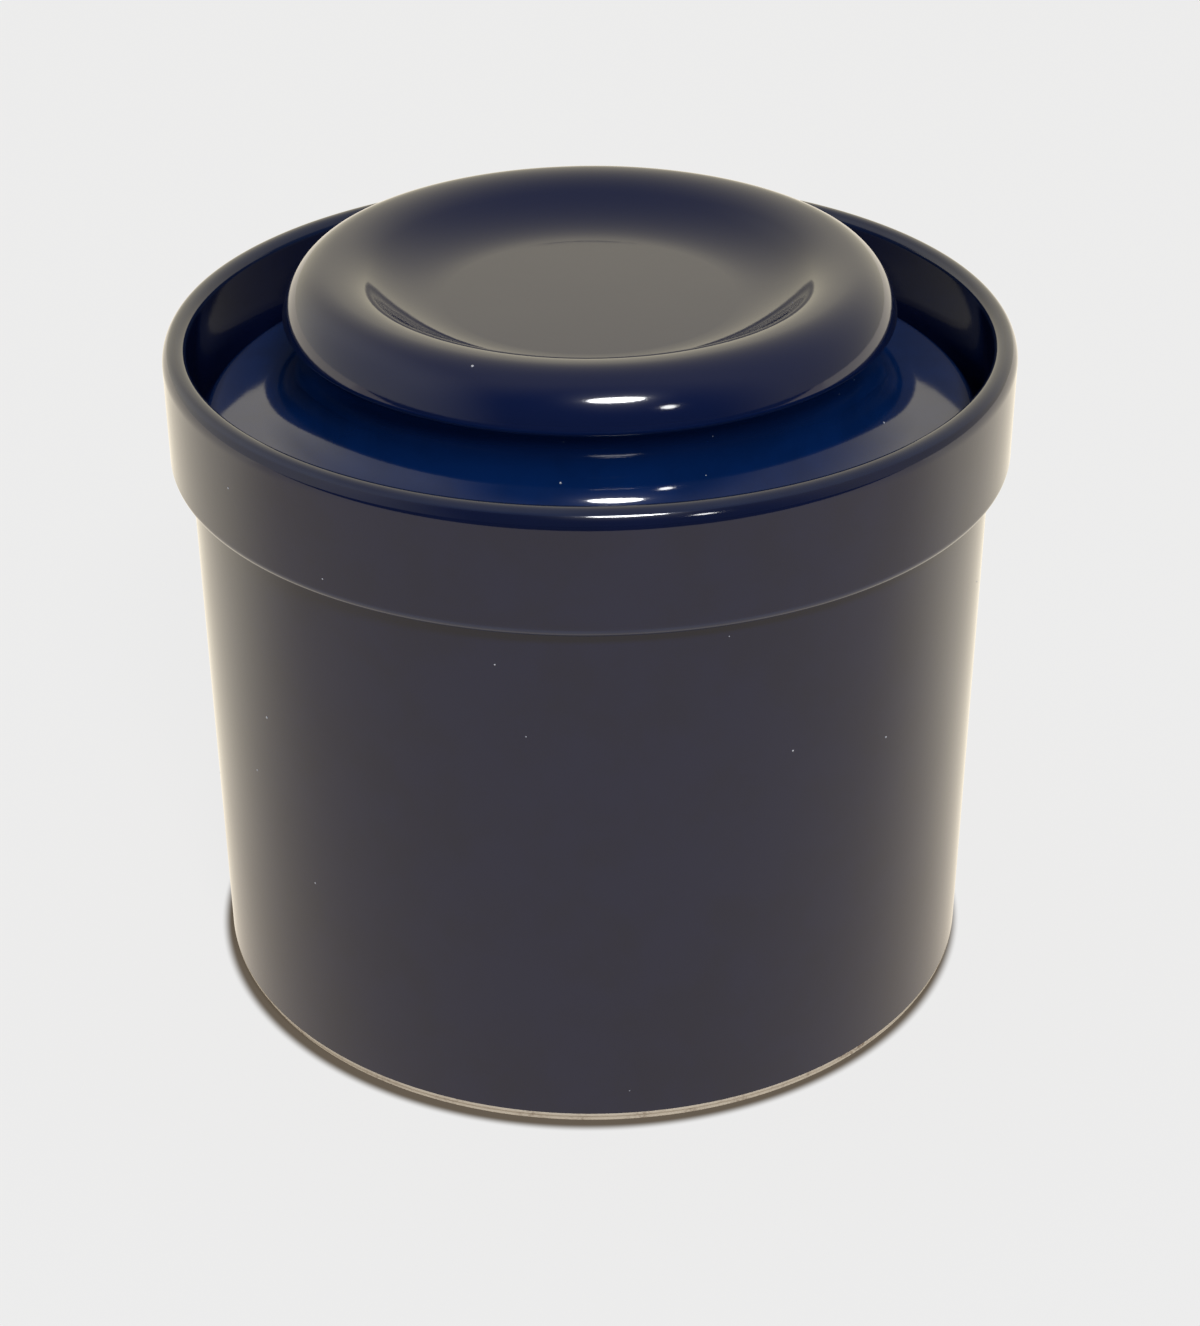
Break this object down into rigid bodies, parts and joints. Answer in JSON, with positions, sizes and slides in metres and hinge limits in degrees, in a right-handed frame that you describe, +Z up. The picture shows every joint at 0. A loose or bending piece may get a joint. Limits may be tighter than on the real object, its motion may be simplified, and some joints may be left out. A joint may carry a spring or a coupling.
{
  "type": "butter crock",
  "caption": "Round glazed ceramic butter crock: pot with a thick collar, and a lid with a dished grip whose underside carries a butter cup that hangs in water.",
  "frame": {"origin": "centre of the foot plane, on the axis of revolution", "axes": "+Z up along the axis of revolution; X and Y are equivalent, because the crock is round"},
  "size_m": [0.108, 0.108, 0.0967],
  "materials": {
    "pot_glaze": "high-gloss cobalt blue glaze over stoneware, bare clay on the foot ring",
    "lid_glaze": "high-gloss cobalt blue glaze over stoneware",
    "bell_glaze": "high-gloss cobalt blue glaze over stoneware, bare clay on the lip"
  },
  "bodies": {
    "crock": {"crock_pot": "pot_glaze"},
    "lid": {"lid_cap": "lid_glaze", "butter_bell": "bell_glaze"}
  },
  "joints": [
    {"name": "lid_lift", "type": "slide", "parent": "crock", "child": "lid", "axis": [0, 0, 1], "range_m": [0, 0.075]}
  ]
}
